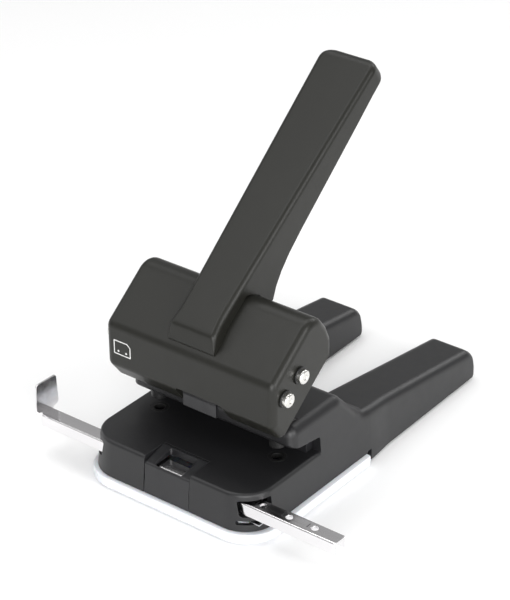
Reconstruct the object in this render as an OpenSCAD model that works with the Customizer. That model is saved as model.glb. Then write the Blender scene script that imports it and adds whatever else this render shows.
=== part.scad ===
// Heavy-duty two-hole punch: cast base with two rear legs, paper throat and
// jaw, a one-piece lever made of head and handle, two sliding punches, a
// guide bar with a flag stop, and a snap-in chip tray.
// Frame: X runs along the punch row, Y runs from the paper side to the
// handle side, Z is up. Z = 0 is the resting surface and Y = 0 is the punch
// row. The lever is drawn raised.

/* [Punching] */
// Distance between the two punches
punch_pitch = 80; // [76:1:84]
// Punch diameter
punch_d = 6; // [5:0.5:6]
// Height of the paper table
table_z = 29; // [28.5:0.5:30]

/* [Base] */
// Half width of the casing
casing_hw = 57.6; // [57:0.2:59]
// Front edge of the casing
casing_front = -44; // [-46:0.5:-43.5]
// Front corner radius of the casing
corner_r = 19; // [14:1:22]
// Rear end of the casing, where the legs start
casing_rear = 60; // [58:1:62]
// Height of the lower edge of the casing
skirt_z = 7; // [6.8:0.1:7.6]
// Top of the jaw and shoulder
shoulder_z = 53; // [52:0.5:54]
// Wall thickness of the casing
wall = 2.6; // [2:0.2:3]
// Outer edge of each leg
leg_out = 55; // [54:0.5:56]
// Inner edge of each leg
leg_in = 25; // [22:1:28]
// Rear end of the legs
leg_end = 171; // [160:1:176]

/* [Lever] */
// Angle of the raised lever above the table
lever_angle = 38; // [36:0.5:40]
// Half width of the head
head_hw = 55.75; // [55:0.25:56]
// Wall thickness of the head cover and handle
cover_wall = 2.5; // [2:0.1:2.6]
// Length of the lever from the head's front edge
lever_len = 200; // [180:1:205]
// Diameter of both axles
axle_d = 8; // [7:0.5:8]
// Length that each axle stands out of the head
axle_out = 4; // [3.5:0.5:5]

/* [Guide bar] */
// Length of the guide bar
bar_len = 197; // [190:1:200]
// Width of the guide bar
bar_w = 9.5; // [8.5:0.5:10]
// Top of the guide bar
bar_z = 23.7; // [23:0.1:24]
// Position of the flag stop
flag_x = -91; // [-95:1:-85]

/* [Chip tray] */
// Half width of the tray rim
tray_hw = 60.2; // [60:0.1:61]
// Front edge of the tray rim
tray_front = -46; // [-48:0.5:-45.8]

/* [Hidden] */
$fn = 48;

px = punch_pitch / 2;
axle_r = axle_d / 2;
// origin of the lever's own axes: the lower front corner of the head
bY = -17.1;
bZ = 54.4;
// both axles in lever axes: u along the handle, v across it
fu = 16.2; fv = 17.4;
du = 31.0; dv = 15.9;
function ly(u, v) = bY + u * cos(lever_angle) - v * sin(lever_angle);
function lz(u, v) = bZ + u * sin(lever_angle) + v * cos(lever_angle);
fY = ly(fu, fv);
fZ = lz(fu, fv);
dY = ly(du, dv);
dZ = lz(du, dv);
punch_top = dZ - axle_r - 0.25;
punch_tip = 36.4;
insert_r = 5;
guide_top = 56.5;
guide_r = 4.4;
spring_top = punch_top - 3;

// extrude an outline given as (y, z) along X from x0 to x1
module along_x(x0, x1) translate([x0, 0, 0]) rotate([90, 0, 90])
  linear_extrude(x1 - x0) children();
// extrude an outline given as (u, v) in lever axes
module lever_x(x0, x1) translate([x0, bY, bZ]) rotate([lever_angle, 0, 0])
  rotate([90, 0, 90]) linear_extrude(x1 - x0) children();
// solids drawn in lever axes: X, u, v
module lever() translate([0, bY, bZ]) rotate([lever_angle, 0, 0]) children();
module xcyl(r, x0, x1, y, z, n = 48) translate([x0, y, z]) rotate([0, 90, 0])
  cylinder(r = r, h = x1 - x0, $fn = n);

// plan outline with two rounded front corners, points run anticlockwise
function arc(cx, cy, r, a0, a1, n) =
  [for (i = [0:n]) [cx + r * cos(a0 + (a1 - a0) * i / n),
                    cy + r * sin(a0 + (a1 - a0) * i / n)]];
function plan(hw, yf, yr, r) = concat([[hw, yr], [-hw, yr]],
  arc(-hw + r, yf + r, r, 180, 270, 10), arc(hw - r, yf + r, r, 270, 360, 10));

// plan of a leg foot
foot_y = leg_end - 20;
module foot_plan(o) union() {
  square([18 + 2 * o, 12 + 2 * o], center = true);
  square([8 + 2 * o, 22 + 2 * o], center = true);
  for (t = [-1, 1], q = [-1, 1]) translate([q * 4, t * 6]) circle(r = 5 + o);
}

// casing: skirt, table, jaw, shoulder and the two legs in one casting
jaw_front = -6;
throat_back = 17.5;
module shoulder_outline() polygon([[throat_back, table_z - 1],
  [throat_back, 38.2], [jaw_front, 41.2], [jaw_front, shoulder_z - 3],
  [jaw_front + 0.9, shoulder_z - 0.9], [jaw_front + 3, shoulder_z],
  [36, shoulder_z], [39, shoulder_z - 1.4], [52, 37.5], [56, 34.4],
  [casing_rear, 33], [casing_rear, table_z - 1]]);
module leg_outline() polygon([[casing_rear, 1.5], [casing_rear, skirt_z],
  [casing_rear - 3, skirt_z], [casing_rear - 3, 33.5], [leg_end - 6, 19.7],
  [leg_end - 2.5, 17.2], [leg_end, 5], [leg_end - 3, 1.5]]);
// space inside a leg, which ends before the solid tip
leg_space_end = leg_end - 33;
module leg_space() polygon([[casing_rear + wall, -4], [casing_rear + wall, 30],
  [leg_space_end, 19.2], [leg_space_end, -4]]);
// one leg, tapering towards its tip; leg_in is the inner side near the foot
module leg(s, o) intersection() {
  along_x(-60, 60) {
    if (o == 0) leg_outline();
    if (o > 0) leg_space();
  }
  translate([0, 0, -5]) linear_extrude(60) polygon([
    [s * (leg_in + o - 3), casing_rear - 8], [s * (leg_out - o), casing_rear - 8],
    [s * (leg_out - o - 2), leg_end], [s * (leg_in + o - 0.5), leg_end]]);
}
module base_casing() color([0.12, 0.12, 0.12]) difference() {
  union() {
    translate([0, 0, skirt_z]) linear_extrude(table_z - skirt_z)
      polygon(plan(casing_hw, casing_front, casing_rear, corner_r));
    along_x(-casing_hw, casing_hw) shoulder_outline();
    for (s = [-1, 1]) leg(s, 0);
  }
  // hollow below the table
  translate([0, 0, skirt_z - 1]) linear_extrude(table_z - 3 - skirt_z + 1)
    polygon(plan(casing_hw - wall, casing_front + wall, casing_rear - wall,
                 corner_r - wall));
  // hollow of the shoulder
  along_x(-casing_hw + wall, casing_hw - wall) polygon([[24, 20],
    [24, shoulder_z - 3], [35, shoulder_z - 3], [50, 34.5], [casing_rear - wall, 30],
    [casing_rear - wall, 20]]);
  // hollow of each leg, open below
  for (s = [-1, 1]) leg(s, wall);
  // pockets of the leg feet
  for (s = [-1, 1]) translate([s * (leg_in + leg_out) / 2, foot_y, 1])
    linear_extrude(2.5) foot_plan(0.1);
  // bores of the die inserts
  for (s = [-1, 1]) translate([s * px, 0, table_z - 4])
    cylinder(r = insert_r + 0.05, h = 6);
  // seat of the frame and bores of the punch guides
  translate([-49.2, -6.5, shoulder_z - 2.5]) cube([98.4, 12, 3]);
  for (s = [-1, 1]) translate([s * px, 0, 30])
    cylinder(r = guide_r, h = 30);
  // pilot holes of the frame screws
  for (x = [-24, 0, 24]) translate([x, 0, shoulder_z - 10])
    cylinder(r = 1.5, h = 12, $fn = 24);
  // slots for the guide bar, and the small slot of the detent spring
  translate([-70, -41.2, 15.6]) cube([140, 15, 9.6]);
  translate([45, -42.6, 11.2]) cube([20, 10.8, 2.2]);
  // opening for the sight bezel
  translate([-15.5, casing_front - 2, skirt_z - 1]) cube([31, 20.4, 30]);
  // seats of the paper stop
  translate([-50.2, throat_back - 0.1, table_z - 0.1]) cube([100.4, 2.2, 7.5]);
  // snap grooves of the chip tray
  for (s = [-1, 1]) translate([s * (casing_hw - wall), 20, 10.4])
    rotate([0, 45, 0]) cube([2, 24, 2], center = true);
}

// front centre piece with the sloped frame of the sight window
module sight_bezel() color([0.1, 0.1, 0.1]) difference() {
  union() {
    along_x(-15.2, 15.2) polygon([[casing_front + 0.1, skirt_z + 0.2],
      [casing_front + 0.1, 25.6], [casing_front + 18.1, table_z + 0.4],
      [casing_front + 18.1, bar_z + 1.2], [casing_front + 3, bar_z + 1.2],
      [casing_front + 3, skirt_z + 0.2]]);
    along_x(-9.5, 9.5) polygon([[casing_front + 2.9, 8],
      [casing_front + 2.9, 13], [casing_front + 6, 13], [casing_front + 6, 11.5],
      [casing_front + 4.5, 10], [casing_front + 4.5, 8]]);
  }
  translate([-9.3, casing_front + 2.2, 20]) cube([18.6, 13.9, 20]);
  // grooves beside the front wall, wide at the top and closed at the bottom
  for (s = [-1, 1]) translate([s * 15.2, casing_front, 0]) rotate([90, 0, 0])
    translate([0, 0, -1.2]) linear_extrude(3)
      polygon([[0, 12], [-s * 1.7, 30], [s * 1, 30], [s * 1, 12]]);
}

// hardened die inserts, flush with the table
module die_inserts() color([0.12, 0.12, 0.12]) for (s = [-1, 1])
  translate([s * px, 0, table_z - 3]) difference() {
    cylinder(r = insert_r, h = 3);
    translate([0, 0, -1]) cylinder(r = punch_d / 2 + 0.05, h = 5);
  }

// steel frame on the jaw with the two ears that hold the fulcrum axle
module ear_outline() difference() {
  union() {
    polygon([[fY - 6.3, fZ], [-14.5, 59], [-5.8, 51.8],
      [-5.8, shoulder_z - 2.4], [5.2, shoulder_z - 2.4], [5.2, shoulder_z],
      [1.5, shoulder_z + 1], [-5.2, 63], [fY + 6.3, fZ]]);
    translate([fY, fZ]) circle(r = 6.3);
  }
  translate([fY, fZ]) circle(r = axle_r + 0.06);
}
module pivot_frame() color([0.5, 0.51, 0.53]) union() {
  difference() {
    translate([-49, -5.8, shoulder_z - 2.4]) cube([98, 11, 2.4]);
    for (s = [-1, 1]) translate([s * px, 0, 40]) cylinder(r = guide_r, h = 20);
    for (x = [-24, 0, 24]) translate([x, 0, 40])
      cylinder(r = 1.9, h = 20, $fn = 24);
  }
  for (s = [-1, 1]) along_x(s > 0 ? 46 : -49, s > 0 ? 49 : -46) ear_outline();
}

// guide bushes of both punches
module punch_guides() color([0.6, 0.6, 0.62]) for (s = [-1, 1])
  translate([s * px, 0, 0]) difference() {
    union() {
      translate([0, 0, punch_tip + 0.2])
        cylinder(r = guide_r, h = guide_top - punch_tip - 0.2);
      translate([0, 0, shoulder_z]) cylinder(r = 5.4, h = 1.5);
    }
    translate([0, 0, 30]) cylinder(r = punch_d / 2 + 0.04, h = 40);
  }

// three screws that hold the frame on the jaw
module frame_screws() color([0.7, 0.7, 0.72]) for (x = [-24, 0, 24])
  translate([x, 0, 0]) difference() {
    union() {
      translate([0, 0, shoulder_z - 9]) cylinder(r = 1.5, h = 9.2, $fn = 24);
      translate([0, 0, shoulder_z]) cylinder(r = 3, h = 1.6);
    }
    translate([0, 0, shoulder_z + 0.8]) {
      cube([4.2, 0.9, 2], center = true);
      cube([0.9, 4.2, 2], center = true);
    }
  }

// axles through the head, with turned ends
module axle(u, v) lever() translate([0, u, v]) {
  xcyl(axle_r, -head_hw - axle_out + 0.8, head_hw + axle_out - 0.8, 0, 0);
  for (s = [-1, 1]) translate([s * (head_hw + axle_out - 0.8), 0, 0])
    rotate([0, s * 90, 0]) cylinder(r1 = axle_r, r2 = axle_r - 0.8, h = 0.8);
}
module fulcrum_axle() color([0.8, 0.8, 0.78]) axle(fu, fv);
module drive_axle() color([0.8, 0.8, 0.78]) axle(du, dv);

// retaining rings at both ends of both axles
module axle_rings() color([0.2, 0.2, 0.2]) lever()
  for (p = [[fu, fv], [du, dv]]) for (s = [-1, 1])
    translate([s * (head_hw + 0.6), p[0], p[1]]) rotate([0, 90, 0])
      difference() {
        cylinder(r = axle_r + 0.8, h = 1.2, center = true);
        cylinder(r = axle_r, h = 3, center = true);
      }

// pressed steel lever: side plates, web and the arm inside the handle
module lever_frame() color([0.45, 0.46, 0.48]) lever() difference() {
  union() {
    for (s = [-1, 1]) translate([s > 0 ? 50.2 : -52.8, 0, 0])
      rotate([90, 0, 90]) linear_extrude(2.6)
        polygon([[8, 12], [12, 22], [18, 28.6], [48, 28.6], [48, 12], [40, 7],
          [14, 7]]);
    translate([-52.8, 19, 26.1]) cube([105.6, 29, 2.5]);
    translate([-9, 28, 26.1]) cube([18, 18, 9.4]);
    translate([-9, 28, 32.1]) cube([18, 152, 3.4]);
    for (x = [-9, 6.6]) translate([x, 62, 28]) cube([2.4, 110, 5]);
  }
  for (u = [78, 168]) translate([0, u, 20]) cylinder(r = 2, h = 20, $fn = 32);
  xcyl(axle_r, -60, 60, fu, fv);
  xcyl(axle_r, -60, 60, du, dv);
}

// two rivets that hold the handle on the lever arm
module frame_rivets() color([0.6, 0.6, 0.62]) lever() for (u = [78, 168])
  translate([0, u, 0]) {
    translate([0, 0, 31.2]) cylinder(r = 2, h = 7, $fn = 32);
    translate([0, 0, 30.2]) cylinder(r = 3.6, h = 1.9, $fn = 32);
  }

// head cover, open below
module head_outline(o) polygon(concat([[o, o > 0 ? -5 : 0],
  [o, 11.8 - o * 0.4], [15 + o * 0.5, 31.5 - o]],
  arc(50, 20.5, 11 - o, 90, 0, 8),
  [[61 - o, 14], [59 - o, 6], [56 - o, 1.5], [54 - o, 0],
   [54 - o, o > 0 ? -5 : 0]]));
module head_cover() color([0.14, 0.14, 0.13]) difference() {
  lever_x(-head_hw, head_hw) head_outline(0);
  lever_x(-head_hw + cover_wall, head_hw - cover_wall)
    head_outline(cover_wall);
  lever() {
    for (p = [[fu, fv], [du, dv]]) xcyl(axle_r, -70, 70, p[0], p[1]);
    // opening for the lever arm, below the handle
    translate([-9.6, 27, 20]) cube([19.2, 22, 20]);
    // notch of the lock tab in the front lip
    translate([-8.6, -1, -2]) cube([31, 6, 14.8]);
  }
}

// handle: a tapered shell, open below
module grip_side(o) polygon([[19.4 + o * 1.5, 31.5 - o * 2],
  [19.8 + o, 32.5], [26.4 + o * 0.9, 39.5 - o],
  [lever_len - 3 - o * 0.6, 39.5 - o], [lever_len - o, 37 - o * 0.5],
  [lever_len + 0.4 - o, 33], [lever_len - 1 - o, 29 - o * 2],
  [lever_len - 5, 28 - o * 2], [185, 27.4 - o * 2], [165, 25.4 - o * 2],
  [104, 20 - o * 2], [90, 18.2 - o * 2], [80, 15.8 - o * 2],
  [72, 12.6 - o * 2], [66, 8.6 - o * 2], [61.6 + o, 8.6 - o * 2],
  [61.6 + o, 22], [58.5 + o, 28], [56 + o, 31.5]]);
module grip_plan(o) polygon(concat([[15.2 - o, 0], [15.2 - o, 31], [13.7 - o, 34],
  [18.1 - o, lever_len - 9]],
  arc(10.1, lever_len - 8, 8 - o, 0, 90, 6),
  arc(-10.1, lever_len - 8, 8 - o, 90, 180, 6),
  [[-18.1 + o, lever_len - 9], [-13.7 + o, 34], [-15.2 + o, 31],
   [-15.2 + o, 0]]));
module grip_solid(o) intersection() {
  rotate([90, 0, 90]) translate([0, 0, -30]) linear_extrude(60) grip_side(o);
  linear_extrude(60) grip_plan(o);
}
module handle_grip() color([0.15, 0.15, 0.14]) lever() difference() {
  union() {
    difference() {
      grip_solid(0);
      grip_solid(cover_wall);
    }
    for (u = [78, 168]) translate([0, u, 35.7]) cylinder(r = 4.5, h = 2, $fn = 32);
  }
  for (u = [78, 168]) translate([0, u, 35]) cylinder(r = 2, h = 3.4, $fn = 32);
}

// tab in the notch of the head's front lip
module lock_tab() color([0.16, 0.16, 0.16]) lever() union() {
  lever_tab();
}
module lever_tab() rotate([90, 0, 90]) translate([0, 0, -7])
  linear_extrude(22) polygon([[-3.4, 0.4], [1.2, 6.2], [4.25, 12.9],
    [8, 17.9], [9.5, 16.8], [5.6, 11.6], [2.8, 5.2], [-1.8, -0.8]]);

// punches and their pressed-on caps
module punch() difference() {
  translate([0, 0, punch_tip])
    cylinder(r = punch_d / 2, h = punch_top - 1 - punch_tip);
  // hollow-ground cutting end
  translate([0, 0, punch_tip]) rotate([0, 90, 0])
    cylinder(r = 1.1, h = 10, center = true, $fn = 4);
}
module punch_cap() difference() {
  translate([0, 0, spring_top])
    cylinder(r = 5.4, h = punch_top - spring_top);
  translate([0, 0, spring_top - 1])
    cylinder(r = punch_d / 2, h = punch_top - spring_top);
}
module punch_left() color([0.75, 0.75, 0.76]) translate([-px, 0, 0]) punch();
module punch_right() color([0.75, 0.75, 0.76]) translate([px, 0, 0]) punch();
module punch_caps_left() color([0.5, 0.5, 0.5]) translate([-px, 0, 0])
  punch_cap();
module punch_caps_right() color([0.5, 0.5, 0.5]) translate([px, 0, 0])
  punch_cap();

// coil spring round a punch
spring_r = 4.35;
wire_r = 0.45;
turns = 6;
function helix_ring(t, z0, z1) = [for (k = [0:7])
  let (a = 360 * turns * t, c = 45 * k, r = spring_r + wire_r * cos(c))
  [r * cos(a), r * sin(a), z0 + (z1 - z0) * t + wire_r * sin(c)]];
module coil(z0, z1) {
  n = turns * 16;
  pts = [for (i = [0:n]) for (p = helix_ring(i / n, z0, z1)) p];
  faces = concat([[for (k = [7:-1:0]) k]],
    [for (i = [0:n - 1]) for (k = [0:7])
      [i * 8 + k, i * 8 + (k + 1) % 8, (i + 1) * 8 + (k + 1) % 8,
       (i + 1) * 8 + k]],
    [[for (k = [0:7]) n * 8 + k]]);
  polyhedron(pts, [for (f = faces) [for (j = [len(f) - 1:-1:0]) f[j]]]);
}
module return_spring_left() color([0.6, 0.62, 0.65]) translate([-px, 0, 0])
  coil(guide_top + wire_r + 0.1, spring_top - wire_r - 0.1);
module return_spring_right() color([0.6, 0.62, 0.65]) translate([px, 0, 0])
  coil(guide_top + wire_r + 0.1, spring_top - wire_r - 0.1);

// guide bar: a channel with detent holes and the flag stop at one end
bar_y = casing_front + 9.6;
hole_x = [110, 132, 148.5, 165, 181];
module guide_bar() color([0.85, 0.86, 0.88]) difference() {
  union() {
    translate([flag_x, bar_y - bar_w / 2, bar_z - 1.2])
      cube([bar_len, bar_w, 1.2]);
    for (s = [-1, 1]) translate([flag_x,
        s > 0 ? bar_y + bar_w / 2 - 1 : bar_y - bar_w / 2, bar_z - 7])
      cube([bar_len, 1, 6]);
    translate([flag_x - 1.2, 0, 0]) rotate([90, 0, 90]) linear_extrude(1.2)
      polygon(concat([[bar_y - bar_w / 2, bar_z - 1.2],
        [bar_y + bar_w / 2, bar_z - 1.2], [bar_y + bar_w / 2, bar_z + 0.6]],
        arc(bar_y + 6.2, bar_z + 3.6, 3, -90, 0, 5),
        arc(bar_y + 6.2, bar_z + 17, 3, 0, 90, 5),
        arc(bar_y - 6.2, bar_z + 17, 3, 90, 180, 5),
        arc(bar_y - 6.2, bar_z + 3.6, 3, 180, 270, 5),
        [[bar_y - bar_w / 2, bar_z + 0.6]]));
  }
  for (x = hole_x) translate([flag_x + x, bar_y, bar_z - 2])
    cylinder(r = 2, h = 3, $fn = 32);
}

// leaf spring that clicks into the holes of the guide bar
module detent_spring() color([0.8, 0.8, 0.78]) union() {
  along_y(bar_y - 2.4, bar_y + 2.4) polygon([[30, 11.6], [casing_hw - 1.2, 11.6],
    [casing_hw - 1.2, 12.3], [30.7, 12.3], [30.7, 20.3], [48, 20.3], [48, 21],
    [30, 21]]);
  translate([flag_x + 132, bar_y, 20.6]) cylinder(r = 1.5, h = 1.5, $fn = 32);
}
module along_y(y0, y1) translate([0, y1, 0]) rotate([90, 0, 0])
  linear_extrude(y1 - y0) children();

// chip tray that snaps into the casing from below
module chip_tray() color([0.93, 0.94, 0.96]) difference() {
  union() {
    linear_extrude(2) polygon(plan(tray_hw - 1.6, tray_front + 1.6,
      casing_rear - 2, corner_r + 0.4));
    translate([0, 0, 1]) linear_extrude(skirt_z - 0.3 - 1)
      polygon(plan(tray_hw, tray_front, casing_rear - 1, corner_r + 2));
    linear_extrude(12) polygon(plan(casing_hw - wall - 0.4,
      casing_front + wall + 0.9, casing_rear - wall - 3, corner_r - wall - 0.6));
    for (s = [-1, 1]) translate([s * (casing_hw - wall - 0.4), 20, 10.4])
      rotate([0, 45, 0]) cube([0.25, 22, 0.25], center = true);
  }
  translate([0, 0, 1.6]) linear_extrude(20) polygon(plan(casing_hw - wall - 2,
    casing_front + wall + 2.5, casing_rear - wall - 4.6, corner_r - wall - 2));
  // clearance of the bezel's ledge and of the detent spring
  translate([28, bar_y - 4, 11]) cube([40, 8, 3]);
  translate([-10.5, casing_front, 7.5]) cube([21, 7.5, 10]);
}

// rubber pads in pockets under the solid tips of the legs
module leg_feet() color([0.08, 0.08, 0.08]) for (s = [-1, 1])
  translate([s * (leg_in + leg_out) / 2, foot_y, 0])
    linear_extrude(3.5) foot_plan(0);

// stop strip at the back of the paper throat
module paper_stop() color([0.12, 0.12, 0.12]) along_x(-50, 50)
  polygon([[12, table_z], [12, 37.8], [throat_back, 37.2],
    [throat_back, 36.2], [throat_back + 2, 36.2], [throat_back + 2, table_z]]);

base_casing();
sight_bezel();
die_inserts();
pivot_frame();
punch_guides();
frame_screws();
fulcrum_axle();
drive_axle();
axle_rings();
lever_frame();
head_cover();
handle_grip();
lock_tab();
frame_rivets();
punch_left();
punch_right();
punch_caps_left();
punch_caps_right();
return_spring_left();
return_spring_right();
guide_bar();
detent_spring();
chip_tray();
leg_feet();
paper_stop();
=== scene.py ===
"""Looks of the two-hole punch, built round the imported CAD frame. Lengths in the helpers are millimetres; every piece is scaled to metres at the end."""

import math
import bmesh
import bpy
from mathutils import Matrix, Vector


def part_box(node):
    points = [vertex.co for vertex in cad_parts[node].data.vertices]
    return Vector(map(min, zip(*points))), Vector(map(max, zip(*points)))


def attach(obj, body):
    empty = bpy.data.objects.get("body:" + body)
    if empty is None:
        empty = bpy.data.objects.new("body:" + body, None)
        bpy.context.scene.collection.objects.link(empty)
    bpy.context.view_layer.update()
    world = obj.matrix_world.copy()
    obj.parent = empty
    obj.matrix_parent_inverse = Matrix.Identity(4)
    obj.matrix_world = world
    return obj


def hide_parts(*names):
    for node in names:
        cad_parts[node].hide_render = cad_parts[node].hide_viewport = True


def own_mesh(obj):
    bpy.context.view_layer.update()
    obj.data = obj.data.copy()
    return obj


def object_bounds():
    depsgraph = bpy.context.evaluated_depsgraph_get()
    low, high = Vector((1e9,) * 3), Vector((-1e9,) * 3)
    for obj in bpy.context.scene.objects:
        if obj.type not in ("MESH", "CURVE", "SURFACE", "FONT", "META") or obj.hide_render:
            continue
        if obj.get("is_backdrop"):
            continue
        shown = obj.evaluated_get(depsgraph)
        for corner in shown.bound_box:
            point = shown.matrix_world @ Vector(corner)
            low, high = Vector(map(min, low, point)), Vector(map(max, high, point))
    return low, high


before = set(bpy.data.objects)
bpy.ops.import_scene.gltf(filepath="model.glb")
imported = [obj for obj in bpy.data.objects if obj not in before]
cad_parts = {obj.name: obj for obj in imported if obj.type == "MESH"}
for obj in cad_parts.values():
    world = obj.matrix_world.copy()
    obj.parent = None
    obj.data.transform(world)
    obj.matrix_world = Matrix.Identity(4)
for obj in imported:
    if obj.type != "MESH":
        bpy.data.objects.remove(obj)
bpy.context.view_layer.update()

scene = bpy.context.scene

# ---------------------------------------------------------------- camera
A, E = math.radians(37.61), math.radians(29.62)
back = Vector((math.sin(A) * math.cos(E), -math.cos(A) * math.cos(E), math.sin(E)))
cam_data = bpy.data.cameras.new("camera")
cam = bpy.data.objects.new("camera", cam_data)
scene.collection.objects.link(cam)
cam_data.lens = 136.98
cam_data.sensor_width = 36
cam_data.clip_start, cam_data.clip_end = 0.05, 20
cam.location = Vector((-0.01237, 0.04888, 0.08325)) + back * 1.23369
cam.rotation_mode = "QUATERNION"
cam.rotation_quaternion = (-back).to_track_quat("-Z", "Y")
scene.camera = cam

# ---------------------------------------------------------------- shapes
ANG = math.radians(38)
BY, BZ = -17.1, 54.4


def lever(x, u, v):
    return Vector((x, BY + u * math.cos(ANG) - v * math.sin(ANG), BZ + u * math.sin(ANG) + v * math.cos(ANG)))


def m_x(a, b, t):
    return Vector((t, a, b))


def m_z(a, b, t):
    return Vector((a, b, t))


def m_lever(a, b, t):
    return lever(t, a, b)


def fillet(pts, rad, closed=True, n=6):
    """Corners of an outline turned into arcs of the radius given for each."""
    out, count = [], len(pts)
    for i, p in enumerate(pts):
        r = rad[i] if isinstance(rad, (list, tuple)) else rad
        if r <= 0 or (not closed and i in (0, count - 1)):
            out.append(tuple(p))
            continue
        a, b, p = Vector(pts[(i - 1) % count]), Vector(pts[(i + 1) % count]), Vector(p)
        u, v = a - p, b - p
        lu, lv = u.length, v.length
        u.normalize()
        v.normalize()
        ang = math.acos(max(-1, min(1, u.dot(v))))
        if abs(math.pi - ang) < 0.02:
            out.append(tuple(p))
            continue
        t = min(r / math.tan(ang / 2), 0.48 * min(lu, lv))
        r = t * math.tan(ang / 2)
        c = p + (u + v).normalized() * (r / math.sin(ang / 2))
        p0, p1 = p + u * t, p + v * t
        a0 = math.atan2(p0.y - c.y, p0.x - c.x)
        a1 = math.atan2(p1.y - c.y, p1.x - c.x)
        d = (a1 - a0 + math.pi) % (2 * math.pi) - math.pi
        k = max(2, round(n * abs(d) / (math.pi / 2)) + 1)
        out += [(c.x + r * math.cos(a0 + d * j / k), c.y + r * math.sin(a0 + d * j / k)) for j in range(k + 1)]
    return out


def to_object(bm, name):
    bmesh.ops.recalc_face_normals(bm, faces=bm.faces)
    me = bpy.data.meshes.new(name)
    bm.to_mesh(me)
    bm.free()
    o = bpy.data.objects.new(name, me)
    scene.collection.objects.link(o)
    return o


def prism(pts, lo, hi, to3, name="tmp"):
    bm = bmesh.new()
    n = len(pts)
    p = [bm.verts.new(to3(a, b, lo)) for a, b in pts]
    q = [bm.verts.new(to3(a, b, hi)) for a, b in pts]
    bm.faces.new(p[::-1])
    bm.faces.new(q)
    for i in range(n):
        bm.faces.new((p[i], p[(i + 1) % n], q[(i + 1) % n], q[i]))
    return to_object(bm, name)


def loft(sections, name="tmp"):
    """Closed sections of equal point counts, joined in order and capped."""
    bm = bmesh.new()
    rows = [[bm.verts.new(p) for p in s] for s in sections]
    n = len(rows[0])
    for r, q in zip(rows, rows[1:]):
        for i in range(n):
            bm.faces.new((r[i], r[(i + 1) % n], q[(i + 1) % n], q[i]))
    bm.faces.new(rows[0][::-1])
    bm.faces.new(rows[-1])
    return to_object(bm, name)


def rect(a0, a1, b0, b1):
    return [(a0, b0), (a1, b0), (a1, b1), (a0, b1)]


def circle(cx, cy, r, n=40):
    return [(cx + r * math.cos(2 * math.pi * i / n), cy + r * math.sin(2 * math.pi * i / n)) for i in range(n)]


def plan(hw, yf, yr, r, rr=2.0):
    return fillet([(hw, yr), (-hw, yr), (-hw, yf), (hw, yf)], [rr, rr, r, r], n=14)


def bevel(o, width, where=None, seg=3, angle=30):
    bm = bmesh.new()
    bm.from_mesh(o.data)
    edges = []
    for e in bm.edges:
        if len(e.link_faces) == 2 and e.calc_face_angle(0) > math.radians(angle):
            mid = (e.verts[0].co + e.verts[1].co) / 2
            if where is None or where(mid, (e.verts[1].co - e.verts[0].co).normalized()):
                edges.append(e)
    if edges:
        bmesh.ops.bevel(bm, geom=edges, offset=width, offset_type="OFFSET", segments=seg, profile=0.5, affect="EDGES", clamp_overlap=True)
    bm.to_mesh(o.data)
    bm.free()
    return o


def volume(me):
    bm = bmesh.new()
    bm.from_mesh(me)
    v = bm.calc_volume()
    bm.free()
    return v


def csg(a, op, *others):
    for b in others:
        before = volume(a.data)
        for solver in ("MANIFOLD", "EXACT"):
            m = a.modifiers.new("b", "BOOLEAN")
            m.operation, m.object, m.solver = op, b, solver
            bpy.context.view_layer.update()
            me = bpy.data.meshes.new_from_object(a.evaluated_get(bpy.context.evaluated_depsgraph_get()))
            a.modifiers.clear()
            if len(me.polygons) and abs(volume(me) - before) > 1e-4:
                a.data = me
                break
            print("boolean", op, "with", solver, "changed nothing on", a.name, b.name)
        bpy.data.objects.remove(b)
    return a


def xrod(r, x0, x1, at, n=40):
    """A round cutter along X; at gives its centre as a point."""
    return prism(circle(at.y, at.z, r, n), x0, x1, m_x)


def lathe_x(profile, at, n=56, name="tmp"):
    """Rings of (x, radius) about an X axis through at."""
    return loft([[Vector((x, at.y + r * math.cos(2 * math.pi * i / n), at.z + r * math.sin(2 * math.pi * i / n))) for i in range(n)] for x, r in profile], name)


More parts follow.
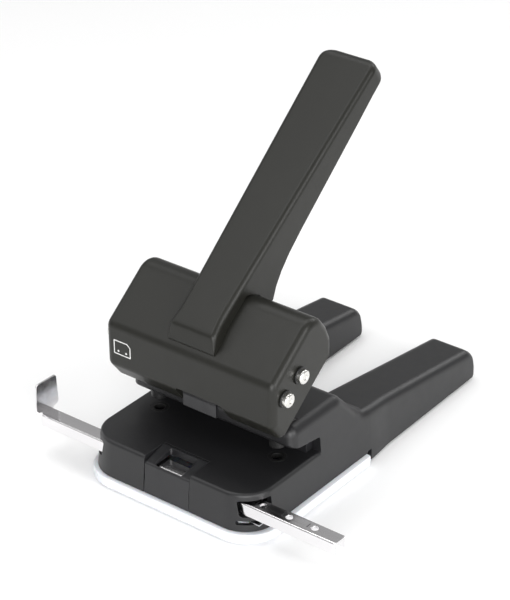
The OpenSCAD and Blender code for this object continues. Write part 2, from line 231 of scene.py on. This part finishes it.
# ---------------------------------------------------------------- materials
def material(name, base, worn, rough, metal=0.0, fine=1800, fine_bump=0.2, fine_depth=0.00003, tone=0.12, wear=0.3, edge=0.0004, stretch=(1, 1, 1), coat=0.0, coat_rough=0.2, sss=0.0, spec=0.5, rough_var=0.08):
    """Colour that varies in broad patches, fine bump, varied roughness, and wear on true edges."""
    m = bpy.data.materials.new(name)
    m.use_nodes = True
    t, link = m.node_tree.nodes, m.node_tree.links
    p = t["Principled BSDF"]
    p.inputs["Metallic"].default_value = metal
    p.inputs["Specular IOR Level"].default_value = spec
    p.inputs["Coat Weight"].default_value = coat
    p.inputs["Coat Roughness"].default_value = coat_rough
    if sss:
        p.inputs["Subsurface Weight"].default_value = sss
        p.inputs["Subsurface Scale"].default_value = 0.002
    co = t.new("ShaderNodeTexCoord")
    mp = t.new("ShaderNodeMapping")
    mp.inputs["Scale"].default_value = stretch
    link.new(co.outputs["Object"], mp.inputs["Vector"])

    def noise(scale, detail):
        n = t.new("ShaderNodeTexNoise")
        n.inputs["Scale"].default_value = scale
        n.inputs["Detail"].default_value = detail
        link.new(mp.outputs["Vector"], n.inputs["Vector"])
        return n.outputs["Fac"]

    broad, small = noise(34, 4), noise(fine, 3)
    ramp = t.new("ShaderNodeValToRGB")
    ramp.color_ramp.elements[0].position, ramp.color_ramp.elements[1].position = 0.3, 0.7
    ramp.color_ramp.elements[0].color = [c * (1 - tone) for c in base] + [1]
    ramp.color_ramp.elements[1].color = [min(1, c * (1 + tone)) for c in base] + [1]
    link.new(broad, ramp.inputs["Fac"])
    # wear: where the rounded normal leaves the true one, broken up by noise
    bev = t.new("ShaderNodeBevel")
    bev.samples = 4
    bev.inputs["Radius"].default_value = edge
    geo = t.new("ShaderNodeNewGeometry")
    dot = t.new("ShaderNodeVectorMath")
    dot.operation = "DOT_PRODUCT"
    link.new(bev.outputs["Normal"], dot.inputs[0])
    link.new(geo.outputs["Normal"], dot.inputs[1])
    rng = t.new("ShaderNodeMapRange")
    rng.inputs["From Min"].default_value, rng.inputs["From Max"].default_value = 0.995, 0.8
    rng.inputs["To Min"].default_value, rng.inputs["To Max"].default_value = 0.0, wear
    link.new(dot.outputs["Value"], rng.inputs["Value"])
    mul = t.new("ShaderNodeMath")
    mul.operation = "MULTIPLY"
    link.new(rng.outputs["Result"], mul.inputs[0])
    link.new(noise(260, 5), mul.inputs[1])
    mix = t.new("ShaderNodeMix")
    mix.data_type = "RGBA"
    link.new(mul.outputs["Value"], mix.inputs[0])
    link.new(ramp.outputs["Color"], mix.inputs[6])
    mix.inputs[7].default_value = list(worn) + [1]
    link.new(mix.outputs[2], p.inputs["Base Color"])
    rr = t.new("ShaderNodeMapRange")
    rr.inputs["To Min"].default_value = max(0.02, rough - rough_var)
    rr.inputs["To Max"].default_value = rough + rough_var
    rr.inputs["From Min"].default_value, rr.inputs["From Max"].default_value = 0.3, 0.7
    link.new(noise(150, 5), rr.inputs["Value"])
    link.new(rr.outputs["Result"], p.inputs["Roughness"])
    bump = t.new("ShaderNodeBump")
    bump.inputs["Strength"].default_value = fine_bump
    bump.inputs["Distance"].default_value = fine_depth
    link.new(small, bump.inputs["Height"])
    link.new(bev.outputs["Normal"], bump.inputs["Normal"])
    link.new(bump.outputs["Normal"], p.inputs["Normal"])
    return m


CASING = material("casing_black", (0.0115, 0.0115, 0.0125), (0.11, 0.11, 0.115), 0.40, tone=0.05, rough_var=0.025, fine=1700, fine_bump=0.6, fine_depth=0.00005, wear=0.5)
LEVER = material("lever_black", (0.0128, 0.0128, 0.0104), (0.13, 0.13, 0.12), 0.38, spec=0.36, tone=0.05, rough_var=0.025, fine=1700, fine_bump=0.6, fine_depth=0.00005, wear=0.5)
BEZEL = material("bezel_black", (0.014, 0.014, 0.0155), (0.1, 0.1, 0.1), 0.36, fine=1500, fine_bump=0.2, wear=0.4)
TOOL = material("tool_steel", (0.2, 0.2, 0.205), (0.5, 0.5, 0.5), 0.32, metal=1, fine=900, stretch=(0.1, 2, 2), fine_bump=0.25)
STEEL = material("frame_steel", (0.4, 0.41, 0.43), (0.6, 0.6, 0.6), 0.34, metal=1, fine=900, stretch=(0.15, 2, 2), fine_bump=0.25)
NICKEL = material("nickel", (0.8, 0.79, 0.76), (0.9, 0.9, 0.88), 0.2, metal=1, fine=1600, stretch=(2.4, 0.4, 0.4), fine_bump=0.15, tone=0.04, rough_var=0.05)
RING = material("ring_black", (0.03, 0.03, 0.03), (0.25, 0.25, 0.25), 0.4, metal=0.6, fine=1800)
CHROME = material("bar_chrome", (0.84, 0.83, 0.84), (0.95, 0.95, 0.95), 0.16, metal=1, fine=1300, stretch=(0.05, 2.5, 2.5), fine_bump=0.12, tone=0.03, rough_var=0.05, wear=0.2)
WIRE = material("spring_steel", (0.58, 0.59, 0.61), (0.8, 0.8, 0.8), 0.28, metal=1, fine=1500)
TRAY = material("tray_white", (0.80, 0.82, 0.86), (0.92, 0.93, 0.95), 0.34, fine=1400, fine_bump=0.12, tone=0.02, wear=0.3, sss=0.08)
RUBBER = material("foot_rubber", (0.02, 0.02, 0.02), (0.07, 0.07, 0.07), 0.75, fine=2200, fine_bump=0.6)
PRINT = material("print_white", (0.72, 0.72, 0.71), (0.5, 0.5, 0.5), 0.5, fine=3000, fine_bump=0.1, tone=0.05, edge=0.00008)
TICK = material("print_dark", (0.02, 0.02, 0.022), (0.1, 0.1, 0.1), 0.45, fine=3000, fine_bump=0.1, tone=0.1, edge=0.00005)


def done(o, name, mat, body, nodes=(), sharp=34):
    """Scales a finished piece to metres, shades it and puts it on its body."""
    bm = bmesh.new()
    bm.from_mesh(o.data)
    bmesh.ops.remove_doubles(bm, verts=bm.verts, dist=0.0015)
    bmesh.ops.dissolve_degenerate(bm, dist=0.001, edges=bm.edges)
    bmesh.ops.recalc_face_normals(bm, faces=bm.faces)
    for f in bm.faces:
        f.smooth = True
    for e in bm.edges:
        e.smooth = not (len(e.link_faces) != 2 or e.calc_face_angle(0) > math.radians(sharp))
    bm.to_mesh(o.data)
    bm.free()
    o.data.transform(Matrix.Scale(0.001, 4))
    o.name = name
    o.data.materials.clear()
    o.data.materials.append(mat)
    w = o.modifiers.new("normals", "WEIGHTED_NORMAL")
    w.keep_sharp = True
    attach(o, body)
    if nodes:
        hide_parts(*nodes)
    return o


# ---------------------------------------------------------------- casing
HW, YF, YR, WALL = 57.6, -44.0, 60.0, 2.6
body = prism(plan(HW, YF, YR, 19), 7, 29, m_z)
bevel(body, 2.0, lambda p, d: p.z > 28.9, 5)
bevel(body, 0.7, lambda p, d: p.z < 7.1, 2)
side = fillet(
    [(17.5, 20), (17.5, 38.2), (-6, 41.2), (-6, 53), (37, 53), (51.5, 38), (56, 34.6), (60, 33), (60, 20)],
    [0, 1.6, 2.4, 6.6, 8, 9, 8, 1.2, 0], n=8)


def cheek_section(x, d):
    """The cheek's outline, drawn in by d along the top, the rear slope and the front edge."""
    rows = []
    for i, p in enumerate(side):
        p = Vector(p)
        a = (p - Vector(side[i - 1])).normalized()
        b = (Vector(side[(i + 1) % len(side)]) - p).normalized()
        n = (Vector((a.y, -a.x)) + Vector((b.y, -b.x))).normalized()
        if p.x > 58.5:
            q = Vector((p.x, p.y - d * max(0, min(1, (p.y - 20) / 11))))
        elif p.y > 44.5 or p.x > 30:
            q = p + n * d
        elif p.x < 2 and p.y > 39:
            y = 2 - (2 - p.x) * (8 - d) / 8
            q = Vector((y, p.y - (y - p.x) * 0.128 * max(0, min(1, (44 - p.y) / 3))))
        else:
            q = p
        rows.append(Vector((x, q.x, q.y)))
    return rows


ends = [(HW - 5.4 + 5.4 * math.sin(math.radians(11.25 * i)), 5.4 * (1 - math.cos(math.radians(11.25 * i)))) for i in range(9)]
cheek = loft([cheek_section(-x, d) for x, d in ends[::-1]] + [cheek_section(x, d) for x, d in ends])
csg(body, "UNION", cheek)


def draft(z):
    """How far the casting's outer walls have leant in at a height."""
    return 0.082 * max(0, z - 7)


for v in body.data.vertices:
    k = draft(v.co.z)
    v.co.x -= k * v.co.x / HW
    if v.co.y < -10 and v.co.z < 30:
        v.co.y += k * 0.85 * min(1, (-10 - v.co.y) / 30)


def leg_section(s, y):
    top = 33.5 - (y - 57) * 13.8 / 108 if y < 165 else (19.7 - (y - 165) * 2.5 / 3.5 if y < 168.5 else 17.2 - (y - 168.5) * 12.2 / 2.5)
    bot = 8.5 if y < 62.4 else (1.5 if y < 168 else 1.5 + (y - 168) * 3.2 / 3)
    t = (y - 52) / 119
    inner, outer = 22 + 2.5 * t, 56.4 - 1.9 * t
    # the root flows out of the casing's side
    k = max(0, min(1, (84 - y) / 24))
    outer += (HW - 0.02 - outer) * k * k * (3 - 2 * k)
    k = max(0, y - 168.4)
    inset = 2.6 - math.sqrt(max(0, 6.76 - k * k))
    r = min(5.4, (top - bot) * 0.48)

    def wall(x, z, sign):
        return x - sign * ((draft(z) * x / HW if sign > 0 else 0.075 * max(0, z - 4)) + inset)

    rows = [(wall(outer, bot, 1), bot)]
    if bot < 6.9:
        rows.append((wall(outer, 7, 1), 7))
    else:
        rows.append((wall(outer, bot + 0.3, 1), bot + 0.3))
    for sign, a0 in ((1, 0), (-1, 90)):
        for i in range(9):
            a = math.radians(a0 + 90 * i / 8)
            z = top - r + r * math.sin(a)
            rows.append((wall(outer if sign > 0 else inner, top - r, sign) - sign * r + r * math.cos(a), z))
    rows.append((wall(inner, bot, -1), bot))
    if top - r < 7.2:
        rows[1] = ((rows[0][0] + rows[2][0]) / 2, (rows[0][1] + rows[2][1]) / 2)
    return [Vector((s * x, y, z)) for x, z in rows]


for s in (-1, 1):
    ys = [50, 54, 57, 60, 62.35, 62.45, 64, 67, 70, 73, 76, 80, 84, 95, 110, 125, 140, 155, 163, 165, 166.5, 167.5, 168, 168.5, 169.2, 169.9, 170.5, 171]
    csg(body, "UNION", loft([leg_section(s, y) for y in ys]))
csg(body, "DIFFERENCE", prism(plan(HW - WALL, YF + WALL, YR - WALL, 16.4), 5.5, 13, m_z))
csg(body, "DIFFERENCE", prism(plan(HW - 4.6, YF + 4.2, YR - WALL, 14.4), 12.5, 26, m_z))
csg(body, "DIFFERENCE", prism([(24, 20), (24, 50), (35, 50), (50, 34.5), (57.4, 30), (57.4, 20)], -50.5, 50.5, m_x))
for s in (-1, 1):
    # space inside each leg, then the pocket of its foot
    x0, x1, x2, x3 = 26.9, 51.0, 49.8, 28.6
    cut = loft([[Vector((s * x, y, z)) for x, z in ((a, -4), (b, -4), (b, top), (a, top))] for y, a, b, top in ((62.6, x0 + 0.1, x1 - 0.2, 30), (138, x3, x2, 19.2))])
    csg(body, "DIFFERENCE", cut)
    csg(body, "DIFFERENCE", prism([(s * 40 + x, 151 + y) for x, y in fillet([(9.1, -6.1), (9.1, 6.1), (4.1, 11.1), (-4.1, 11.1), (-9.1, 6.1), (-9.1, -6.1), (-4.1, -11.1), (4.1, -11.1)], 3.2)], 1, 3.5, m_z))
    csg(body, "DIFFERENCE", prism(circle(s * 40, 0, 4.4), 30, 60, m_z))
csg(body, "DIFFERENCE",
    prism(circle(-40, 0, 5.05, 48), 25, 31, m_z),
    prism(circle(40, 0, 5.05, 48), 25, 31, m_z),
    prism(rect(-49.2, 49.2, -6.5, 5.5), 50.5, 56, m_z),
    prism(fillet(rect(-41.2, -26.2, 15.6, 25.2), 1.4), -70, 70, m_x),
    prism(fillet(rect(45, 65, 11.2, 13.4), 0.6), -42.6, -31.8, lambda a, b, t: Vector((a, t, b))),
    prism(rect(-15.5, 15.5, YF - 2, YF + 18.4), 6, 36, m_z),
    prism(rect(17.4, 19.6, 28.9, 36.4), -50.2, 50.2, m_x))
casing = done(body, "casing_shell", CASING, "base", ["base_casing"])

# ---------------------------------------------------------------- sight bezel
bz = prism(fillet([(-43.9, 7.2), (-43.9, 25.6), (-25.9, 29.4), (-25.9, 24.9), (-41, 24.9), (-41, 7.2)], [0.3, 1.4, 1.0, 0.3, 0.3, 0.3], n=5), -15.2, 15.2, m_x)
bevel(bz, 0.5, lambda p, d: abs(abs(p.x) - 15.2) < 0.01, 2, 40)
for v in bz.data.vertices:
    if v.co.y < -40.9:
        v.co.y += 0.85 * draft(v.co.z)
csg(bz, "UNION", prism([(-41.1, 8), (-41.1, 13), (-38, 13), (-38, 11.5), (-39.5, 10), (-39.5, 8)], -9.5, 9.5, m_x))
win = prism(fillet(rect(-9.3, 9.3, -41.8, -27.9), 1.3, n=5), 20, 40, m_z)
csg(bz, "DIFFERENCE", win)
for s in (-1, 1):
    csg(bz, "DIFFERENCE", prism([(s * 15.2, 12), (s * 13.5, 30), (s * 16.2, 30), (s * 16.2, 12)][::s], YF - 1.8, YF + 1.2, lambda a, b, t: Vector((a, t, b))))
done(bz, "bezel_frame", BEZEL, "base", ["sight_bezel"])

# ---------------------------------------------------------------- head cover
HH, END = 55.75, 4.2
FU, DU = (16.2, 17.4), (31.0, 15.9)
head_path = fillet([(0, 0), (0, 11.8), (15, 31.5), (50, 31.5)], [0, 5, 6, 0], closed=False, n=8)[:-1]
head_path += [(50 + 11 * math.cos(math.radians(90 - 7.5 * i)), 20.5 + 11 * math.sin(math.radians(90 - 7.5 * i))) for i in range(13)]
head_path += [(61, 14), (59, 6), (56, 1.5), (54, 0)]


def inset_path(path, d):
    out = []
    for i, p in enumerate(path):
        p = Vector(p)
        if i == 0:
            out.append((p.x + d, 0))
            continue
        if i == len(path) - 1:
            out.append((p.x - d * 0.9, 0))
            continue
        a, b = (p - Vector(path[i - 1])).normalized(), (Vector(path[i + 1]) - p).normalized()
        na, nb = Vector((a.y, -a.x)), Vector((b.y, -b.x))
        n = (na + nb).normalized()
        q = p + n * (d / max(0.5, n.dot(na)))
        out.append((q.x, max(q.y, 0)))
    return out


xs = [(HH - END + END * math.sin(math.radians(90 * i / 7)), END * (1 - math.cos(math.radians(90 * i / 7)))) for i in range(8)]
secs = []
for x, d in [(-x, d) for x, d in xs[::-1]] + xs:
    secs.append([lever(x, u, v) for u, v in inset_path(head_path, d)])
head = loft(secs)
inner = prism([(2.5, -6), (2.5, 10.8), (16.25, 29), (50, 29)] + [(50 + 8.5 * math.cos(math.radians(90 - 15 * i)), 20.5 + 8.5 * math.sin(math.radians(90 - 15 * i))) for i in range(1, 7)] + [(58.5, 14), (56.5, 6), (53.5, 1.5), (51.5, 0), (51.5, -6)], -HH + 2.5, HH - 2.5, m_lever)
csg(head, "DIFFERENCE", inner)
for c in (FU, DU):
    csg(head, "DIFFERENCE", xrod(4.02, -70, 70, lever(0, *c)))
csg(head, "DIFFERENCE", prism(rect(27, 49, 20, 40), -9.6, 9.6, m_lever))
csg(head, "DIFFERENCE", prism(fillet([(-8.6, -2), (22.4, -2), (22.4, 12.8), (-8.6, 12.8)], [0, 0, 1.6, 1.6]), -1, 5, lambda a, b, t: lever(a, t, b)))
done(head, "head_shell", LEVER, "lever", ["head_cover"])

# ---------------------------------------------------------------- handle
def ramp(u, pts):
    for (a, p), (b, q) in zip(pts, pts[1:]):
        if u <= b:
            return p + (q - p) * max(0, (u - a)) / (b - a)
    return pts[-1][1]


def grip_section(u):
    top = ramp(u, [(19.4, 31.9), (19.8, 32.6), (25.2, 38.5), (26.0, 39.1), (27.2, 39.5), (200, 39.5)])
    if u > 194.9:
        top = 39.5 - 5.6 + math.sqrt(max(0, 31.36 - (u - 194.9) ** 2))
    bot = ramp(u, [(56, 31.5), (58.5, 28), (61.5, 22.1), (61.61, 8.6), (66, 8.6), (72, 12.6), (80, 15.8), (90, 18.2), (104, 20), (165, 25.4), (185, 27.4), (195, 28), (199, 29), (200.4, 32.4)])
    w = ramp(u, [(24, 15.2), (27.2, 15.05), (31, 14.55), (35, 14.05), (41, 13.9), (192.4, 18.1)])
    if u > 192.4:
        w = 10.1 + math.sqrt(max(0, 64 - (u - 192.4) ** 2))
    r = min(3.2, (top - bot) * 0.45)
    rows = [(w, bot)]
    for cx, a0 in ((w - r, 0), (-w + r, 90)):
        rows += [(cx + r * math.cos(math.radians(a0 + 90 * i / 7)), top - r + r * math.sin(math.radians(a0 + 90 * i / 7))) for i in range(8)]
    rows.append((-w, bot))
    return [lever(x, u, v) for x, v in rows]


us = [19.4, 19.8, 21, 22.5, 24, 25.2, 26, 27.2, 29, 31, 33, 35, 38, 41, 50, 56, 58.5, 61.5, 61.61, 66, 69, 72, 76, 80, 85, 90, 97, 104, 120, 140, 165, 185, 192.4]
us += [192.4 + 8 * math.sin(math.radians(90 * i / 10)) for i in range(1, 11)]
grip = loft([grip_section(u) for u in sorted(us)])
hollow = prism([(23.15, 26.5), (22.3, 32.5), (28.65, 37), (194.5, 37), (195.5, 36), (195.8, 30), (194.5, 23), (185, 22.4), (165, 20.4), (104, 15), (90, 13.2), (80, 10.8), (72, 7.6), (66, 3.6), (64.1, 3.6), (64.1, 22), (61, 28), (58.5, 31.5)], -15.6, 15.6, m_lever)
narrow = prism([(12.7, 20), (12.7, 31), (11.2, 34), (15.6, 190), (15.6, 192.4), (10.1, 197.9), (-10.1, 197.9), (-15.6, 192.4), (-15.6, 190), (-11.2, 34), (-12.7, 31), (-12.7, 20)], 0, 60, lambda a, b, t: lever(a, b, t))
csg(hollow, "INTERSECT", narrow)
csg(grip, "DIFFERENCE", hollow)
done(grip, "handle_shell", LEVER, "lever", ["handle_grip"])

# ---------------------------------------------------------------- lock tab
tab = prism(fillet([(-3.4, 0.4), (1.2, 6.2), (4.25, 12.9), (8, 17.9), (9.5, 16.8), (5.6, 11.6), (2.8, 5.2), (-1.8, -0.8)], [0.7, 2, 2, 0.3, 0.3, 2, 2, 0.7], n=5), -7, 15, m_lever)
bevel(tab, 0.35, lambda p, d: abs(p.x + 7) < 0.01 or abs(p.x - 15) < 0.01, 2, 40)
done(tab, "tab_plate", BEZEL, "lever", ["lock_tab"])

# ---------------------------------------------------------------- axles and rings
for key, c in (("fulcrum_axle", FU), ("drive_axle", DU)):
    ends = [(59.3, 1.2), (59.75, 1.6), (59.75, 2.9), (59.62, 3.35), (59.35, 3.7), (58.95, 3.93), (58.5, 4.0)]
    prof = [(-x, r) for x, r in ends] + [(x, r) for x, r in ends[::-1]]
    done(lathe_x(prof, lever(0, *c)), key.split("_")[0] + "_pin", NICKEL, "lever", [key])
ring_parts = []
for c in (FU, DU):
    for s in (-1, 1):
        x = s * 56.35
        outer = lathe_x([(x - 0.6, 4.45), (x - 0.5, 4.68), (x - 0.3, 4.8), (x + 0.3, 4.8), (x + 0.5, 4.68), (x + 0.6, 4.45)], lever(0, *c))
        csg(outer, "DIFFERENCE", xrod(4.03, x - 2, x + 2, lever(0, *c), 56))
        ring_parts.append(outer)
bm = bmesh.new()
for o in ring_parts:
    bm.from_mesh(o.data)
    bpy.data.objects.remove(o)
done(to_object(bm, "tmp"), "retaining_rings", RING, "lever", ["axle_rings"])

# ---------------------------------------------------------------- guide bar
YB = -34.4
sec = [(-4.75, 16.7), (-4.75, 23.7), (4.75, 23.7), (4.75, 16.7), (3.75, 16.7), (3.75, 22.5), (-3.75, 22.5), (-3.75, 16.7)]
bar = prism([(YB + y, z) for y, z in fillet(sec, [0.2, 1.1, 1.1, 0.2, 0.2, 0.3, 0.3, 0.2], n=6)], -91.4, 106, m_x)
flag = [(YB - 4.75, 22.5), (YB + 4.75, 22.5), (YB + 4.75, 24.6), (-25.25, 25.4), (-26.5, 43.3), (-42.5, 43.6), (-43.5, 25.6), (YB - 4.75, 25.4)]
flag = prism(fillet(flag, [0.3, 0.3, 0.8, 2.6, 1.5, 1.7, 1.3, 0.8], n=8), -92.2, -91, m_x)
bevel(flag, 0.3, lambda p, d: True, 2, 50)
csg(bar, "UNION", flag)
for x in (110, 132, 148.5, 165, 181):
    csg(bar, "DIFFERENCE", prism(circle(x - 91, YB, 2), 21, 25, m_z))
for s in (-1, 1):
    corner = [(106.5, YB + s * 5.2), (104, YB + s * 5.2), (104, YB + s * 4.75)] + [(104 + 2 * math.sin(math.radians(15 * i)), YB + s * (2.75 + 2 * math.cos(math.radians(15 * i)))) for i in range(1, 7)] + [(106.5, YB + s * 2.75)]
    csg(bar, "DIFFERENCE", prism(corner, 15, 25, m_z))
done(bar, "guide_rail", CHROME, "guide", ["guide_bar"])
bm = bmesh.new()
for x in (132, 148.5, 165, 181):
    o = prism(fillet(rect(x - 91 - 4.4, x - 91 - 4.0, YB - 1.6, YB + 2.0), 0.1, n=2), 23.69, 23.73, m_z)
    bm.from_mesh(o.data)
    bpy.data.objects.remove(o)
done(to_object(bm, "tmp"), "size_ticks", TICK, "guide")

# ---------------------------------------------------------------- chip tray
tray = prism(plan(58.6, -44.4, 58, 19.4), 0, 2, m_z)
bevel(tray, 0.5, lambda p, d: p.z < 0.1, 2)
rim = prism(plan(60.2, -46, 59, 21), 1, 6.7, m_z)
bevel(rim, 0.8, lambda p, d: True, 3, 60)
csg(tray, "UNION", rim, prism(plan(54.6, -40.5, 54.4, 15.8), 0.5, 12, m_z))
csg(tray, "DIFFERENCE", prism(plan(53, -38.9, 52.8, 14.4), 1.6, 22, m_z),
    prism(rect(28, 68, YB - 4, YB + 4), 11, 14, m_z), prism(rect(-10.5, 10.5, YF, YF + 7.5), 7.5, 17.5, m_z))
done(tray, "tray_shell", TRAY, "tray", ["chip_tray"])

# ---------------------------------------------------------------- feet, springs
bm = bmesh.new()
for s in (-1, 1):
    o = prism([(s * 40 + x, 151 + y) for x, y in fillet([(9, -6), (9, 6), (4, 11), (-4, 11), (-9, 6), (-9, -6), (-4, -11), (4, -11)], 3.2)], 0, 3.5, m_z)
    bevel(o, 0.6, lambda p, d: p.z < 0.1, 3, 60)
    bm.from_mesh(o.data)
    bpy.data.objects.remove(o)
done(to_object(bm, "tmp"), "foot_pads", RUBBER, "base", ["leg_feet"])

for side_name, x in (("left", -40), ("right", 40)):
    lo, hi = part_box("return_spring_" + side_name)
    z0, z1 = lo.z * 1000 + 0.47, hi.z * 1000 - 0.47
    turns, per, sides_n = 6, 28, 10
    rings = []
    for i in range(turns * per + 1):
        t = i / (turns * per)
        k = t * turns
        # closed end turns, even pitch between them
        if k < 1:
            f = 0.045 * k
        elif k > turns - 1:
            f = 1 - 0.045 * (turns - k)
        else:
            f = 0.045 + 0.91 * (k - 1) / (turns - 2)
        a = 2 * math.pi * k
        radial, centre = Vector((math.cos(a), math.sin(a), 0)), Vector((x, 0, z0 + (z1 - z0) * f))
        rings.append([centre + radial * (4.35 + 0.45 * math.cos(b)) + Vector((0, 0, 0.45 * math.sin(b))) for b in [2 * math.pi * j / sides_n for j in range(sides_n)]])
    coil = done(loft(rings), "spring_" + side_name, WIRE, "base", ["return_spring_" + side_name], sharp=60)
    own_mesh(coil)

# ---------------------------------------------------------------- printed mark
# a plain sheet with two holes, printed on the sloped panel
slope = Vector((15, 19.7)).normalized()
normal = Vector((-slope.y, slope.x))


def on_panel(a, b, t):
    p = Vector((0, 11.8)) + slope * b + normal * t
    return lever(a, p.x, p.y)


mark = prism(fillet([(-50.0, 7.5), (-38.5, 7.5), (-38.5, 14.0), (-40.6, 16.0), (-50.0, 16.0)], 0.5, n=3), 0.0, 0.04, on_panel)
csg(mark, "DIFFERENCE", prism(fillet([(-49.4, 8.1), (-39.1, 8.1), (-39.1, 13.75), (-40.85, 15.4), (-49.4, 15.4)], 0.3, n=3), -1, 1, on_panel))
for x in (-46.9, -41.6):
    dot = prism(circle(x, 9.7, 0.62, 24), 0.0, 0.04, on_panel)
    bm = bmesh.new()
    bm.from_mesh(mark.data)
    bm.from_mesh(dot.data)
    bm.to_mesh(mark.data)
    bm.free()
    bpy.data.objects.remove(dot)
done(mark, "sheet_mark", PRINT, "lever")

# ---------------------------------------------------------------- CAD nodes that stay
# the die inserts take the black ring finish: partly their own dark steel and partly painted shade, standing in for the
# shade that the head and cheek cast on them
for node, mat in {
    "die_inserts": RING, "pivot_frame": RING, "punch_guides": RING, "frame_screws": RING, "lever_frame": STEEL,
    "frame_rivets": STEEL, "punch_left": TOOL, "punch_right": TOOL, "punch_caps_left": STEEL, "punch_caps_right": STEEL,
    "detent_spring": WIRE, "paper_stop": BEZEL,
}.items():
    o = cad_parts[node]
    if not o.data.materials:
        o.data.materials.append(mat)
    for sl in o.material_slots:
        sl.link = "OBJECT"
        sl.material = mat

# ---------------------------------------------------------------- stage and light
bm = bmesh.new()
bmesh.ops.create_grid(bm, x_segments=8, y_segments=8, size=6)
floor = to_object(bm, "floor")
fm = bpy.data.materials.new("floor_white")
fm.use_nodes = True
fp = fm.node_tree.nodes["Principled BSDF"]
fp.inputs["Base Color"].default_value = (0.93, 0.93, 0.93, 1)
fp.inputs["Roughness"].default_value = 0.7
floor.data.materials.append(fm)
floor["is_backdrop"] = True

world = bpy.data.worlds.new("studio")
scene.world = world
world.use_nodes = True
bg = world.node_tree.nodes["Background"]
bg.inputs["Color"].default_value = (1, 1, 1, 1)
bg.inputs["Strength"].default_value = 0.38


def area(name, loc, size, power, target=(0, 0.04, 0.06), size_y=None):
    d = bpy.data.lights.new(name, "AREA")
    d.energy = power
    d.size = size
    if size_y:
        d.shape, d.size_y = "RECTANGLE", size_y
    o = bpy.data.objects.new(name, d)
    scene.collection.objects.link(o)
    o.location = loc
    o.rotation_mode = "QUATERNION"
    o.rotation_quaternion = (Vector(target) - Vector(loc)).to_track_quat("-Z", "Y")
    return o


area("top", (-0.25, 0.35, 1.35), 1.0, 6.8)
area("key", (-0.42, -0.46, 1.28), 0.5, 2.6)
area("front", (0.85, -1.05, 0.5), 0.9, 15.5)
area("left", (-1.2, -0.5, 0.9), 0.8, 2.4)
area("right", (1.2, -0.1, 0.55), 0.45, 7, size_y=0.9)
area("wash", (0.2, 1.9, 1.2), 1.0, 10, target=(-0.45, 0.9, 0))
scene.view_settings.view_transform = "Standard"

lo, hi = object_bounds()
